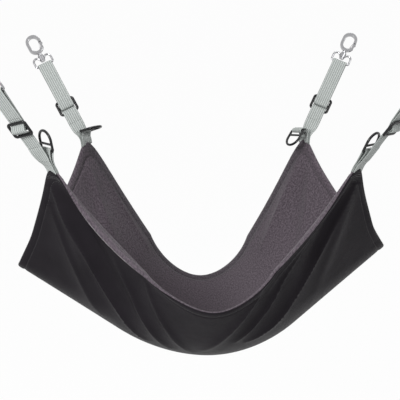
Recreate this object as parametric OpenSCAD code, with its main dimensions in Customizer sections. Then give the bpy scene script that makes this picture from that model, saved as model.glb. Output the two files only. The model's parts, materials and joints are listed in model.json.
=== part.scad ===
// Cat hammock: a two-layer cloth hung by its four corners from adjustable webbing straps.
// Each strap ends in a swivel snap hook, and each corner also carries a D-ring on a webbing tab.
// Millimetres, +X right, +Y back, +Z up. The origin is the middle of the plane of the four hooks.

/* [Cloth] */
// Cut width of the cloth, left to right
cloth_w = 560; // [500:5:620]
// Cut length of the cloth, front to back
cloth_l = 426; // [390:2:470]
// Thickness of the woven outer shell
shell_t = 1.2; // [0.8:0.1:2]
// Thickness of the fleece liner
liner_t = 2.4; // [1:0.1:3.5]
// Cloth left beside the strap on each bevelled corner
corner_margin = 2; // [1:0.5:6]

/* [Hanging form] */
// Slope of the keel at the left end, degrees
keel_left = 32.5; // [26:0.5:36]
// Slope of the keel at the right end, degrees
keel_right = 39.5; // [32:0.5:43]
// Length of the rounded bottom of the keel, each way from its lowest point
keel_round = 125; // [100:5:160]
// Lowest point of the keel, to the right of the middle
keel_shift = 9; // [0:1:20]
// How far the keel lies behind the middle of the cut cloth
keel_back = 15; // [0:1:18]
// Wall angle of the front panel at its middle
front_mid_wall = 43; // [38:1:52]
// Wall angle of the back panel at its middle
back_mid_wall = 23; // [16:0.5:36]
// Wall angle at the front left corner
front_left_wall = 57.5; // [50:0.5:62]
// Wall angle at the front right corner
front_right_wall = 51; // [46:0.5:60]
// Wall angle at the back left corner
back_left_wall = 68; // [60:0.5:72]
// Wall angle at the back right corner
back_right_wall = 58.5; // [54:0.5:66]
// Length of the round bottom of the cross-section at the middle, each way
mid_round = 156; // [140:2:170]
// Length of the round bottom of the cross-section at the left end
left_round = 28; // [26:1:60]
// Length of the round bottom of the cross-section at the right end
right_round = 39; // [34:1:70]
// How far the front wall tips in with the slope of the keel
front_lean = 0.54; // [0.4:0.02:0.7]
// How far the back wall tips in with the slope of the keel
back_lean = 0.85; // [0.75:0.05:1]
// Width of the free hem that rolls outward
hem_w = 26; // [20:1:30]
// Largest outward roll of the front hem on the left, degrees
front_left_roll = 116; // [70:1:120]
// Largest outward roll of the front hem on the right
front_right_roll = 44; // [20:1:70]
// Largest outward roll of the back hem, degrees
back_hem_roll = 8; // [4:1:40]
// Height of the pull folds that run out from the corners
fold_h = 5; // [2:0.5:7]

/* [Straps] */
// Width of the webbing
web_w = 20; // [16:1:25]
// Thickness of the webbing
web_t = 1.5; // [1.2:0.1:1.8]
// Length of a strap from its seam to the bar of its bail
strap_len = 123; // [110:1:150]
// Height of the hook plane over the front left corner
hook_rise = 134; // [120:1:142]
// Seam to slider on the front straps
front_slider_at = 67; // [58:1:74]
// Seam to slider on the back straps
back_slider_at = 56; // [50:1:74]
// Outward direction of the front straps, degrees from the X axis
front_spread = 38; // [30:1:46]
// Outward direction of the back straps, degrees from the X axis
back_spread = 41; // [32:1:48]
// Twist of the front left strap between its seam and its slider
front_left_twist = 27; // [0:1:40]
// Twist of the front right strap
front_right_twist = 0; // [-10:1:20]
// Twist of the back left strap
back_left_twist = 48; // [0:1:60]
// Twist of the back right strap
back_right_twist = 48; // [0:1:60]
// Stretch above the seam over which a strap twists
twist_len = 28; // [26:1:40]

/* [Slider] */
// Radius of the frame of the slider
slider_rod = 1.8; // [1.5:0.1:2]
// Radius of the middle bar of the slider
slider_bar = 1.3; // [1.1:0.1:1.5]
// Distance from the middle bar to each outer bar
slider_pitch = 9.6; // [9.4:0.1:10.6]
// Bend radius of the corners of the slider
slider_bend = 3; // [2.5:0.1:4]

/* [D-ring] */
// Radius of the D-ring rod
ring_rod = 1.6; // [1.3:0.1:2]
// Back bar to cross bar of the D-ring
ring_slot = 8; // [7.5:0.1:10]
// Cross bar to the start of the round crown
ring_arm = 4.5; // [3:0.1:8]
// Corner radius at the back bar
ring_bend = 2.4; // [2:0.1:4]
// Free length of the front tabs, from the seam to the back bar of the D-ring
front_tab_len = 24; // [20:0.5:26]
// Free length of the back left tab
back_left_tab_len = 12; // [11:0.5:14]
// Free length of the back right tab
back_right_tab_len = 20; // [16:0.5:24]
// Bend of the front left tab away from its strap, at the ring
front_left_tab = 44; // [38:1:60]
// Bend of the front right tab
front_right_tab = 10; // [8:1:40]
// Bend of the back left tab
back_left_tab = 48; // [44:1:60]
// Bend of the back right tab, which hangs over
back_right_tab = 158; // [120:1:165]
// Turn of the front left D-ring on its tab
front_left_ring = -20; // [-22:1:60]
// Turn of the front right D-ring
front_right_ring = 2; // [0:1:70]
// Turn of the back left D-ring
back_left_ring = 60; // [0:1:70]
// Turn of the back right D-ring
back_right_ring = 16; // [0:1:40]

/* [Bail] */
// Radius of the bail wire
bail_rod = 1.4; // [1.2:0.1:1.7]
// Bend radius beside the strap bar
bail_foot = 2.2; // [2:0.1:3]
// Straight height of each bail leg
bail_leg = 6; // [5:0.1:9]
// Turn of each shoulder, past level so that the top dips into its boss
bail_turn = 165; // [155:1:170]
// Radius of the swivel boss
boss_r = 4; // [3.6:0.1:4.5]
// Height of the swivel boss
boss_h = 5.5; // [5.4:0.1:6.5]

/* [Hook] */
// Radius of the swivel stem
stem_r = 2; // [1.6:0.1:2.3]
// Radius of the riveted stem head
head_r = 3.3; // [2.8:0.1:3.6]
// Height of the riveted stem head
head_h = 1.8; // [1.4:0.1:2]
// Height of the collar that rides on the boss
collar_h = 1.8; // [1.4:0.1:2.5]
// Inner radius of the hook
eye_r = 6.5; // [5.5:0.1:8]
// Straight height of the hook between its two rounds
eye_h = 8; // [7:0.1:12]
// Width of the hook section
hook_band = 4; // [3.4:0.1:4.6]
// Thickness of the hook section
hook_t = 5.6; // [5.2:0.1:6.4]
// Length of the nose below the crown
nose_len = 3; // [2:0.1:4]

/* [Gate] */
// Thickness of the gate
gate_t = 2.4; // [2:0.1:2.6]
// Width of the gate bar
gate_w = 3; // [2.6:0.1:3.2]
// Radius of the gate heel round its pin
heel_r = 2.4; // [2.2:0.1:2.6]
// Radius of the gate pin
pin_r = 1; // [0.8:0.1:1.1]
// Place of the gate pin round the lower bend, degrees below level
pin_angle = 30; // [26:1:34]
// Thickness of the leaf spring
leaf_t = 0.4; // [0.3:0.05:0.5]

/* [Hidden] */
$fn = 48;
CORNERS = ["front_left", "front_right", "back_left", "back_right"];
HARDWARE = ["strap", "strap_loop", "slider", "ring_tab", "d_ring", "bail", "hook", "gate", "gate_pin", "gate_spring"];

// Clearances
fit_gap = 0.15;
side_gap = 0.5;
swivel_gap = 0.08;
seam_gap = 0.3;

// Straight rods run this far into the bends they meet, which are a hair thicker
lap = 0.3;
lap_room = 0.05;

// Cloth grid
COLS = 34;
edge_density = 0.7;
front_hem_rows = 5;
wall_rows = 5;
corner_power = 24;

// Signs of the corners in X and Y
SIDE = [[-1, -1], [1, -1], [-1, 1], [1, 1]];
half_w = cloth_w / 2;
half_l = cloth_l / 2;
corner_cut = (web_w + 2 * corner_margin) / sqrt(2);

// The walls turn from their middle angle to their corner angle, evenly but for a round at the middle
middle_round = 0.15;
function turn_share(share) = (norm([share, middle_round]) - middle_round) / (norm([1, middle_round]) - middle_round);

// The hem rolls most two thirds of the way from the middle to a corner
roll_peak = pow(3 / 2, 3) * pow(3, 3 / 2);
function roll_share(share) = roll_peak * pow(share, 3) * pow(1 - share, 3 / 2);

function clamp01(x) = min(1, max(0, x));
function smooth(x) = let (c = clamp01(x)) c * c * (3 - 2 * c);
function mix(a, b, t) = a + (b - a) * t;
function unit(v) = v / norm(v);

// A round of length turn that bends up by angle, and a straight run after it: [along, up]
function bend(s, turn, angle) =
    let (r = turn * 180 / (PI * angle), k = min(s, turn) / turn * angle, rest = max(0, s - turn))
    [r * sin(k) + rest * cos(angle), r * (1 - cos(k)) + rest * sin(angle)];

// The hem: a round of length s of hem_w that starts at angle and rolls back by roll over its width
function hem(s, angle, roll) =
    let (back = max(roll, 0.01), r = hem_w * 180 / (PI * back), k = angle - back * s / hem_w)
    [r * (sin(angle) - sin(k)), r * (cos(k) - cos(angle))];

// Pull folds: [corner sign x, corner sign y, direction from the cut edge, share of fold_h, half width]
FOLDS = [
    [-1, -1, 33, 1, 15],
    [-1, -1, 50, -0.7, 11],
    [1, -1, 34, 1, 15],
    [1, -1, 50, -0.7, 11],
    [-1, 1, 40, -0.6, 16],
    [1, 1, 40, -0.6, 16]
];
fold_start = 20;
fold_full = 80;
fold_end = 210;

function fold(f, a, b) =
    let (
        p = [half_w - f[0] * a, half_l - f[1] * b],
        along = p[0] * cos(f[2]) + p[1] * sin(f[2]),
        across = p[1] * cos(f[2]) - p[0] * sin(f[2]),
        rise = smooth((along - fold_start) / (fold_full - fold_start)),
        fade = 1 - smooth((along - fold_full) / (fold_end - fold_full))
    )
    fold_h * f[3] * rise * fade * exp(-pow(across / f[4], 2));

function fold_sum(a, b, i = 0) = i == len(FOLDS) ? 0 : fold(FOLDS[i], a, b) + fold_sum(a, b, i + 1);

// Place of a point of the cut cloth, a across and b front to back, without folds; the keel is at z = 0
function hung(a, b) =
    let (
        left = a < 0,
        share = min(1, abs(a) / half_w),
        t = turn_share(share),
        set_back = keel_back * (1 - pow(share, 4)),
        front = b < set_back,
        slope_end = left ? keel_left : keel_right,
        keel = bend(abs(a), keel_round, slope_end),
        slope = slope_end * min(1, abs(a) / keel_round),
        mid_wall = front ? front_mid_wall : back_mid_wall,
        front_wall = left ? front_left_wall : front_right_wall,
        back_wall = left ? back_left_wall : back_right_wall,
        wall = mix(mid_wall, front ? front_wall : back_wall, t),
        turn = mix(mid_round, left ? left_round : right_round, t),
        front_roll = left ? front_left_roll : front_right_roll,
        roll = (front ? front_roll : back_hem_roll) * roll_share(share),
        flat = half_l + (front ? set_back : -set_back) - hem_w,
        s = abs(b - set_back),
        p = bend(min(s, flat), turn, wall) + hem(max(0, s - flat), wall, roll),
        tip = slope * (front ? front_lean : back_lean)
    )
    [
        keel_shift + (left ? -1 : 1) * (keel[0] - p[1] * sin(tip)),
        (front ? -1 : 1) * p[0],
        keel[1] + p[1] * cos(tip)
    ];

probe = 1;
function inward(f, a, b) = unit(cross(f(a + probe, b) - f(a - probe, b), f(a, b + probe) - f(a, b - probe)));

// The face where shell and liner meet, with the hook plane at z = 0
function corner_flat(k) = [SIDE[k][0] * (half_w - corner_cut / 2), SIDE[k][1] * (half_l - corner_cut / 2)];
hang_z = hung(corner_flat(0)[0], corner_flat(0)[1])[2] + hook_rise;
function cloth(a, b) = hung(a, b) + fold_sum(a, b) * inward(function(x, y) hung(x, y), a, b) - [0, 0, hang_z];
function cloth_in(a, b) = inward(function(x, y) cloth(x, y), a, b);

// Columns crowd towards the ends, rows into the rolled front hem, and the corners draw in to the bevel
function column_at(i) = let (t = 2 * i / COLS - 1) mix(t, sin(90 * t), edge_density);
wall_share = 1 - hem_w / half_l;
ROW_AT = concat(
    [for (j = [0 : front_hem_rows - 1]) mix(-1, -wall_share, j / front_hem_rows)],
    [for (j = [0 : 2 * wall_rows]) mix(-wall_share, wall_share, j / (2 * wall_rows))],
    [1]
);
ROWS = len(ROW_AT) - 1;
function cut_point(i, j) =
    let (u = column_at(i), v = ROW_AT[j])
    [
        u * (half_w - corner_cut / 2 * pow(abs(v), corner_power)),
        v * (half_l - corner_cut / 2 * pow(abs(u), corner_power))
    ];
GRID = [for (i = [0 : COLS]) for (j = [0 : ROWS]) cut_point(i, j)];
FACE = [for (p = GRID) cloth(p[0], p[1])];
IN = [for (p = GRID) cloth_in(p[0], p[1])];

// Faces of a closed sheet whose upper layer comes first
function at(layer, i, j) = layer * len(GRID) + i * (ROWS + 1) + j;
function quad(a, b, c, d) = [[a, b, c], [a, c, d]];
SHEET = concat(
    [for (i = [0 : COLS - 1]) for (j = [0 : ROWS - 1]) for (f = concat(
        quad(at(0, i, j), at(0, i, j + 1), at(0, i + 1, j + 1), at(0, i + 1, j)),
        [for (t = quad(at(1, i, j), at(1, i, j + 1), at(1, i + 1, j + 1), at(1, i + 1, j))) [t[2], t[1], t[0]]]
    )) f],
    [for (i = [0 : COLS - 1]) for (f = concat(
        quad(at(1, i, 0), at(0, i, 0), at(0, i + 1, 0), at(1, i + 1, 0)),
        quad(at(1, i + 1, ROWS), at(0, i + 1, ROWS), at(0, i, ROWS), at(1, i, ROWS))
    )) f],
    [for (j = [0 : ROWS - 1]) for (f = concat(
        quad(at(1, 0, j + 1), at(0, 0, j + 1), at(0, 0, j), at(1, 0, j)),
        quad(at(1, COLS, j), at(0, COLS, j), at(0, COLS, j + 1), at(1, COLS, j + 1))
    )) f]
);

// Seam of a corner: the middle of the bevel, the bevel's direction and the way out along the cloth
function bevel_mid(k) = let (p = corner_flat(k)) cloth(p[0], p[1]);
function bevel_dir(k) =
    let (
        p = [SIDE[k][0] * half_w, SIDE[k][1] * half_l],
        rim = cloth(p[0] - SIDE[k][0] * corner_cut, p[1]),
        end = cloth(p[0], p[1] - SIDE[k][1] * corner_cut)
    )
    unit(end - rim);
function bevel_out(k) =
    let (p = corner_flat(k), d = corner_cut / 2)
    unit(cloth(p[0], p[1]) - cloth(p[0] - SIDE[k][0] * d, p[1] - SIDE[k][1] * d));
function bevel_in(k) = let (p = corner_flat(k)) cloth_in(p[0], p[1]);

// The axis on which a strap swings lies just off the bevel, in line with the shell
function seam(k) =
    bevel_mid(k) + bevel_out(k) * (seam_gap + web_t / 2) - bevel_in(k) * (web_t / 2 + fit_gap);

// Heights over the strap bar of a bail, up to the inside of the hook's crown
head_drop = 0.75;
neck_h = 3.4;
bail_bite = 0.7;
bail_x = web_w / 2 + side_gap + bail_foot;
bail_shoulder = (bail_x - boss_r + bail_bite) / 2;
shoulder_x = bail_x - bail_shoulder;
shoulder_z = bail_foot + bail_leg;
boss_z = shoulder_z - head_drop;
head_top = boss_z - fit_gap;
collar_z = boss_z + boss_h + fit_gap;
neck_z = collar_z + collar_h;
low_z = neck_z + neck_h + hook_band + eye_r;
high_z = low_z + eye_h;
crown_z = high_z + eye_r;
chain = strap_len + crown_z;
function spread(k) = k < 2 ? front_spread : back_spread;
function slider_at(k) = k < 2 ? front_slider_at : back_slider_at;
function twist(k) = [front_left_twist, front_right_twist, back_left_twist, back_right_twist][k];
function tab_bend(k) = [front_left_tab, front_right_tab, back_left_tab, back_right_tab][k];
function tab_len(k) = [front_tab_len, front_tab_len, back_left_tab_len, back_right_tab_len][k];
function ring_turn(k) = [front_left_ring, front_right_ring, back_left_ring, back_right_ring][k];

// Direction of a strap: its hook ends in the hook plane
function strap_dir(k) =
    let (z = -seam(k)[2] / chain, h = sqrt(1 - z * z))
    [SIDE[k][0] * h * cos(spread(k)), SIDE[k][1] * h * sin(spread(k)), z];
function seam_x(k) =
    let (d = strap_dir(k), e = bevel_dir(k), x = unit(e - (e * d) * d), out = cross(d, x) * bevel_in(k))
    out < 0 ? x : -x;
function turned_x(k, turn) = let (d = strap_dir(k), x = seam_x(k)) x * cos(turn) + cross(d, x) * sin(turn);
function strap_turn(k) = SIDE[k][0] * SIDE[k][1] * twist(k);

// Moves what is drawn upright on a strap's own axes, X across it and Y out of its outer face, to corner k
module on_seam(k, turn = 0) {
    d = strap_dir(k);
    x = turned_x(k, turn);
    y = cross(d, x);
    o = seam(k);
    multmatrix([
        [x[0], y[0], d[0], o[0]],
        [x[1], y[1], d[1], o[1]],
        [x[2], y[2], d[2], o[2]],
        [0, 0, 0, 1]
    ])
    children();
}

module on_strap(k) {
    on_seam(k, strap_turn(k))
    children();
}

// Draws an outline of Y and Z as a bar along X
module across_strap(w) {
    rotate([90, 0, 90])
    linear_extrude(w, center = true)
    children();
}

module pin(r, len) {
    cylinder(r = r, h = len, center = true);
}

module rod(r, len) {
    pin(r, len + 2 * lap);
}

module rod_x(r, len) {
    rotate([0, 90, 0])
    rod(r, len);
}

// A bent rod in the XZ plane: from the +X side of its centre, turning by angle towards +Z
module elbow(r, bend_r, angle) {
    rotate([90, 0, 0])
    rotate_extrude(angle = angle)
    translate([bend_r, 0])
    circle(r + lap_room);
}

// Slider places on the strap
function slider_y() = web_t / 2 + fit_gap + slider_rod;
wrap_r = slider_bar + fit_gap;
bulge_room = 0.6;
bulge = slider_y() + wrap_r + web_t + 2 * fit_gap + web_t / 2 + bulge_room;
rail_x = web_w / 2 + side_gap + slider_rod;
bail_wrap = bail_rod + fit_gap;
bail_y = -(bail_wrap + web_t / 2);

// Running webbing: flat, but over the middle bar of the slider
function run_y(z, zs) = abs(z - zs) < slider_pitch ? bulge * (1 + cos(180 * (z - zs) / slider_pitch)) / 2 : 0;
strap_cut = 2.5;
run_step = 0.9;
run_probe = 0.1;
foot_steps = 14;

function run_stations(k) =
    let (zs = slider_at(k), first = zs - slider_pitch, last = zs + slider_pitch, n = round((last - first) / run_step))
    concat(
        [for (i = [0 : foot_steps]) mix(-web_t / 3, twist_len, i / foot_steps)],
        [for (i = [0 : n]) mix(first, last, i / n)],
        [last + slider_rod + strap_cut]
    );

function run_section(z, k) =
    let (
        zs = slider_at(k),
        y = run_y(z, zs),
        rise = atan2(run_y(z + run_probe, zs) - run_y(z - run_probe, zs), 2 * run_probe),
        turn = -strap_turn(k) * (1 - smooth(z / twist_len)),
        n = [0, cos(rise), -sin(rise)] * web_t / 2,
        c = [0, y, z]
    )
    [for (p = [[-1, -1], [1, -1], [1, 1], [-1, 1]])
        let (q = c + p[1] * n + [p[0] * web_w / 2, 0, 0])
        [q[0] * cos(turn) - q[1] * sin(turn), q[0] * sin(turn) + q[1] * cos(turn), q[2]]];

module strap(k) {
    stations = run_stations(k);
    last = len(stations) - 1;
    points = [for (z = stations) for (p = run_section(z, k)) p];
    sides = [for (i = [0 : last - 1]) for (j = [0 : 3])
        let (a = 4 * i + j, b = a + 4, d = 4 * i + (j + 1) % 4, c = d + 4)
        for (f = j < 2 ? quad(a, b, c, d) : quad(b, c, d, a)) f];
    caps = concat(quad(0, 1, 2, 3), quad(4 * last + 3, 4 * last + 2, 4 * last + 1, 4 * last));
    color("#b9bebb")
    on_strap(k)
    polyhedron(points, concat(sides, caps));
}

// Outline of webbing along a path of [Y, Z] points
function ribbon_side(path, side) =
    let (n = len(path) - 1)
    [for (i = [0 : n])
        let (d = unit(path[min(n, i + 1)] - path[max(0, i - 1)]))
        path[i] + side * web_t / 2 * [-d[1], d[0]]];
function reversed(list) = [for (i = [len(list) - 1 : -1 : 0]) list[i]];
function arc(centre, r, from, to, steps) =
    [for (i = [0 : steps]) let (t = mix(from, to, i / steps)) centre + r * [cos(t), sin(t)]];

module ribbon(path) {
    across_strap(web_w)
    polygon(concat(ribbon_side(path, 1), reversed(ribbon_side(path, -1))));
}

// Where the webbing starts and ends on its way round the middle bar of the slider, degrees
wrap_from = 192;
wrap_to = 480;
wrap_steps = 20;
loop_steps = 12;

// Upper webbing: up to the bail, round its bar, and down to the middle bar of the slider
module strap_loop(k) {
    zs = slider_at(k);
    low = [slider_y(), zs];
    pass = [-(web_t + fit_gap), zs + slider_pitch];
    color("#b9bebb")
    on_strap(k)
    ribbon(concat(
        [[0, zs + slider_pitch + slider_rod + strap_cut]],
        arc([bail_y, strap_len], -bail_y, 0, 180, loop_steps),
        [pass],
        arc(low, wrap_r + web_t / 2, wrap_from, wrap_to, wrap_steps)
    ));
}

// Rod frame with a middle bar
module slider(k) {
    bar_len = 2 * (rail_x - slider_bend);
    rail_len = 2 * (slider_pitch - slider_bend);
    color("#1b1b1d")
    on_strap(k)
    translate([0, slider_y(), slider_at(k)]) {
        rod_x(slider_bar, 2 * rail_x);
        for (s = [-1, 1]) {
            translate([0, 0, s * slider_pitch])
            rod_x(slider_rod, bar_len);
            translate([s * rail_x, 0, 0])
            rod(slider_rod, rail_len);
            for (q = [0, 90]) {
                rotate([0, q + (s > 0 ? 0 : 180), 0])
                translate(q == 0 ? [bar_len / 2, 0, rail_len / 2] : [rail_len / 2, 0, bar_len / 2])
                elbow(slider_rod, slider_bend, 90);
            }
        }
    }
}

ring_wrap = ring_rod + fit_gap;
tab_base = 4;
tab_steps = 10;
ply_gap = 0.06;

// Middle line of a tab in Y and Z, which bends evenly to the inner side of the strap
function tab_point(k, share) =
    let (bend = tab_bend(k), r = tab_len(k) * 180 / (PI * bend), t = bend * share)
    r * [cos(t) - 1, sin(t)];

// One ply of a tab: side is 1 next to the strap and -1 away from it
function tab_ply(k, side) =
    [for (i = [0 : tab_steps - 1])
        let (
            share = i / tab_steps,
            t = tab_bend(k) * share,
            spread = max(0, tab_len(k) * share - tab_base) / (tab_len(k) - tab_base),
            y = mix(web_t / 2 + ply_gap, ring_wrap + web_t / 2, spread)
        )
        tab_point(k, share) + side * y * [cos(t), sin(t)]];

// Axes of a D-ring tab: at the seam, on the inner side of the strap
module on_tab(k) {
    on_seam(k)
    translate([0, -(web_t / 2 + 2 * fit_gap + web_t), -web_t / 3])
    children();
}

// A short loop of webbing with its two ends sewn together at the seam
module ring_tab(k) {
    bend = tab_bend(k);
    top = arc(tab_point(k, 1), ring_wrap + web_t / 2, 180 + bend, bend, loop_steps);
    color("#b9bebb")
    on_tab(k)
    ribbon(concat(tab_ply(k, -1), top, reversed(tab_ply(k, 1))));
}

ring_x = web_w / 2 + side_gap + ring_rod;
cross_rod = 0.9 * ring_rod;

// D-ring with a webbing slot: back bar, two arms, cross bar and round crown
module d_ring(k) {
    arm = ring_slot + ring_arm;
    bar = tab_point(k, 1);
    color("#161618")
    on_tab(k)
    translate([0, bar[0], bar[1]])
    rotate([tab_bend(k) + ring_turn(k), 0, 0]) {
        rod_x(ring_rod, 2 * (ring_x - ring_bend));
        translate([0, 0, ring_slot])
        rod_x(cross_rod, 2 * ring_x);
        for (s = [-1, 1]) {
            translate([s * ring_x, 0, (ring_bend + arm) / 2])
            rod(ring_rod, arm - ring_bend);
            translate([s * (ring_x - ring_bend), 0, ring_bend])
            rotate([0, s > 0 ? 90 : 180, 0])
            elbow(ring_rod, ring_bend, 90);
        }
        translate([0, 0, arm])
        elbow(ring_rod, ring_x, 180);
    }
}

module on_bail(k) {
    on_strap(k)
    translate([0, bail_y, strap_len])
    children();
}

// Wire bail: strap bar, legs, round shoulders and a top that dips to the swivel boss
module bail(k) {
    color("#b7b7ba")
    on_bail(k)
    difference() {
        union() {
            rod_x(bail_rod, 2 * (bail_x - bail_foot));
            for (s = [0, 1]) {
                mirror([s, 0, 0]) {
                    translate([bail_x - bail_foot, 0, bail_foot])
                    rotate([0, 90, 0])
                    elbow(bail_rod, bail_foot, 90);
                    translate([bail_x, 0, bail_foot + bail_leg / 2])
                    rod(bail_rod, bail_leg);
                    translate([shoulder_x, 0, shoulder_z])
                    elbow(bail_rod, bail_shoulder, bail_turn);
                }
            }
            translate([0, 0, boss_z])
            cylinder(r = boss_r, h = boss_h);
        }
        translate([0, 0, boss_z - boss_h])
        cylinder(r = stem_r + swivel_gap, h = 3 * boss_h);
    }
}

mean_r = eye_r + hook_band / 2;
hook_round = 0.9;
neck_r = 0.42 * hook_t;
neck_base = 0.9 * boss_r;
bowl_end = 20;
pin_x = mean_r * cos(pin_angle);
pin_z = low_z - mean_r * sin(pin_angle);
slot_x = pin_x - heel_r - 2 * fit_gap - leaf_t - fit_gap;
slot_z = pin_z - heel_r - 2;
gate_in = eye_r + 2 * fit_gap;

// Section of the hook: a bar with its edges rounded off, centred
module hook_section() {
    intersection() {
        square([hook_band, hook_t], center = true);
        circle(norm([hook_band, hook_t]) / 2 * hook_round);
    }
}

module hook_bend(angle) {
    rotate([90, 0, 0])
    rotate_extrude(angle = angle)
    translate([mean_r, 0])
    hook_section();
}

// Swivel hook: riveted stem, collar, neck, lower bend, spine, crown and nose
module hook(k) {
    color("#b7b7ba")
    on_bail(k)
    difference() {
        union() {
            translate([0, 0, head_top - head_h])
            cylinder(r = head_r, h = head_h);
            translate([0, 0, head_top - head_h / 2])
            cylinder(r = stem_r, h = boss_h + collar_h);
            translate([0, 0, collar_z])
            cylinder(r = boss_r, h = collar_h);
            translate([0, 0, neck_z])
            cylinder(r1 = neck_base, r2 = neck_r, h = neck_h);
            translate([0, 0, neck_z + neck_h / 2])
            cylinder(r = neck_r, h = neck_h / 2 + hook_band / 2);
            translate([0, 0, low_z])
            rotate([0, 180, 0])
            hook_bend(180 - bowl_end);
            translate([-mean_r, 0, low_z])
            linear_extrude(eye_h)
            hook_section();
            translate([0, 0, high_z])
            hook_bend(180);
            translate([mean_r, 0, high_z - nose_len])
            linear_extrude(nose_len)
            hook_section();
        }
        translate([slot_x, -gate_t / 2 - fit_gap, slot_z])
        cube([3 * hook_band, gate_t + 2 * fit_gap, low_z - slot_z]);
        translate([pin_x, 0, pin_z])
        rotate([90, 0, 0])
        pin(pin_r, 2 * hook_t);
    }
}

thumb_r = 1.5;

// Gate: heel on its pin, bar up to the nose and a thumb ridge
module gate(k) {
    top = high_z - nose_len - 2 * fit_gap;
    color("#a9a9ad")
    on_bail(k)
    rotate([90, 0, 0])
    linear_extrude(gate_t, center = true)
    difference() {
        union() {
            translate([pin_x, pin_z])
            circle(heel_r);
            translate([gate_in, pin_z])
            square([gate_w, top - pin_z]);
            translate([gate_in + gate_w, (top + low_z) / 2])
            circle(thumb_r);
        }
        translate([pin_x, pin_z])
        circle(pin_r + swivel_gap);
    }
}

// Pin through the hook, a little shorter than the hook is thick
pin_len = 0.86 * hook_t;
pin_gap = 0.015;

module gate_pin(k) {
    color("#8e8e92")
    on_bail(k)
    translate([pin_x, 0, pin_z])
    rotate([90, 0, 0])
    pin(pin_r - pin_gap, pin_len);
}

// Leaf spring: stands in the slot of the hook and leans on the gate
leaf_bend = 0.6 * heel_r;

module gate_spring(k) {
    foot_x = slot_x + fit_gap;
    bend_z = pin_z + leaf_bend;
    tip_z = (low_z + high_z) / 2;
    tip_x = gate_in - fit_gap;
    color("#8f8f93")
    on_bail(k)
    rotate([90, 0, 0])
    linear_extrude(gate_t - 2 * fit_gap, center = true)
    polygon([
        [foot_x, slot_z + fit_gap],
        [foot_x, bend_z],
        [tip_x - leaf_t, tip_z],
        [tip_x, tip_z],
        [foot_x + leaf_t, bend_z],
        [foot_x + leaf_t, slot_z + fit_gap]
    ]);
}

// Woven shell, outside the meeting face
module outer_shell() {
    color("#2a282b")
    polyhedron(concat(FACE, [for (i = [0 : len(FACE) - 1]) FACE[i] - shell_t * IN[i]]), SHEET);
}

// Fleece liner, inside the meeting face
module inner_liner() {
    color("#555055")
    polyhedron(concat([for (i = [0 : len(FACE) - 1]) FACE[i] + liner_t * IN[i]], FACE), SHEET);
}

module piece(h, k) {
    if (h == "strap") strap(k);
    if (h == "strap_loop") strap_loop(k);
    if (h == "slider") slider(k);
    if (h == "ring_tab") ring_tab(k);
    if (h == "d_ring") d_ring(k);
    if (h == "bail") bail(k);
    if (h == "hook") hook(k);
    if (h == "gate") gate(k);
    if (h == "gate_pin") gate_pin(k);
    if (h == "gate_spring") gate_spring(k);
}

outer_shell();
inner_liner();
for (k = [0 : 3]) {
    for (h = HARDWARE) {
        piece(h, k);
    }
}
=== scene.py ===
# %% [markdown]
# # A hammock bed
# The real object is a soft bed of two cloths, black outside and fleece inside. Its corners hang
# from grey webbing straps with sliders, D-rings and swivel snap hooks. The frame brings the rigid
# pieces in their right places, so this script keeps those and gives them finishes, and it makes
# the cloth, the webbing and the sewing anew, because those are soft and need folds and threads.

# %% Load the frame
import json
import math
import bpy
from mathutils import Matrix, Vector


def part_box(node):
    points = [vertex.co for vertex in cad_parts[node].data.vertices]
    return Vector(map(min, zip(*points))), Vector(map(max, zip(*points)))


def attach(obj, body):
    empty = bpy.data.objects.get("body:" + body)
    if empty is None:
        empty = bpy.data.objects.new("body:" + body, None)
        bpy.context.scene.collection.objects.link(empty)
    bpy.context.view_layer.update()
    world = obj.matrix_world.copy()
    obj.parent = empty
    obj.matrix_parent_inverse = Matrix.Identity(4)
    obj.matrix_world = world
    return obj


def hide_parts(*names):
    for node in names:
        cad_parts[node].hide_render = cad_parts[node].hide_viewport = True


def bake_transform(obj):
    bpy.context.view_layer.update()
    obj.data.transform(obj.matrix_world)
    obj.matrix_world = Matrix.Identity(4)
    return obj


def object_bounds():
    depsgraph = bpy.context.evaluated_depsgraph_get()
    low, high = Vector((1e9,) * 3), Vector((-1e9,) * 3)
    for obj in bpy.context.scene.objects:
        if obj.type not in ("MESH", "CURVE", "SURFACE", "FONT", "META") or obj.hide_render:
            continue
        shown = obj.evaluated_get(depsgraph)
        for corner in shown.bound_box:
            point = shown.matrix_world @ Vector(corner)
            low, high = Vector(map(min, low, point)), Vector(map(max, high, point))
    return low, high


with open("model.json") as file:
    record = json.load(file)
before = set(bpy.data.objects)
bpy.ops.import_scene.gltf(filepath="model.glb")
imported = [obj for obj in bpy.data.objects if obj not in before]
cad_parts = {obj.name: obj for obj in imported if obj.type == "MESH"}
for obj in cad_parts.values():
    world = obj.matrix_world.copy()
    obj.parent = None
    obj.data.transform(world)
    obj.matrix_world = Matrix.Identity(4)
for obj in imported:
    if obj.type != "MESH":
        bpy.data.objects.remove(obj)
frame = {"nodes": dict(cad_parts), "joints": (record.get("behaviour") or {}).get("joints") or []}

from types import SimpleNamespace

import bmesh
import bpy
import numpy as np
from mathutils import Vector, noise

MM = 0.001
cad_box = [list(corner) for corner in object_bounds()]
joints = {joint["name"]: joint for joint in frame["joints"]}
print("CAD box in mm:", [[round(x / MM) for x in corner] for corner in cad_box])

# %% [markdown]
# ## Camera
# The photograph looks a little down on the bed from the front, through a long lens from not quite
# two metres. The lens could be guessed, but the corners and end tips of the cloth were measured,
# so a pinhole camera was fitted to them: its distance, its height and its slight turn to the left.

# %% Camera
SENSOR = 36.0
LENS = 115.4
CAMERA_AIM = Vector((0, 0, -198.4 * MM))
CAMERA_DISTANCE = 1687 * MM
CAMERA_HEIGHT = math.radians(11.65)
CAMERA_TURN = math.radians(-2.4)

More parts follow.
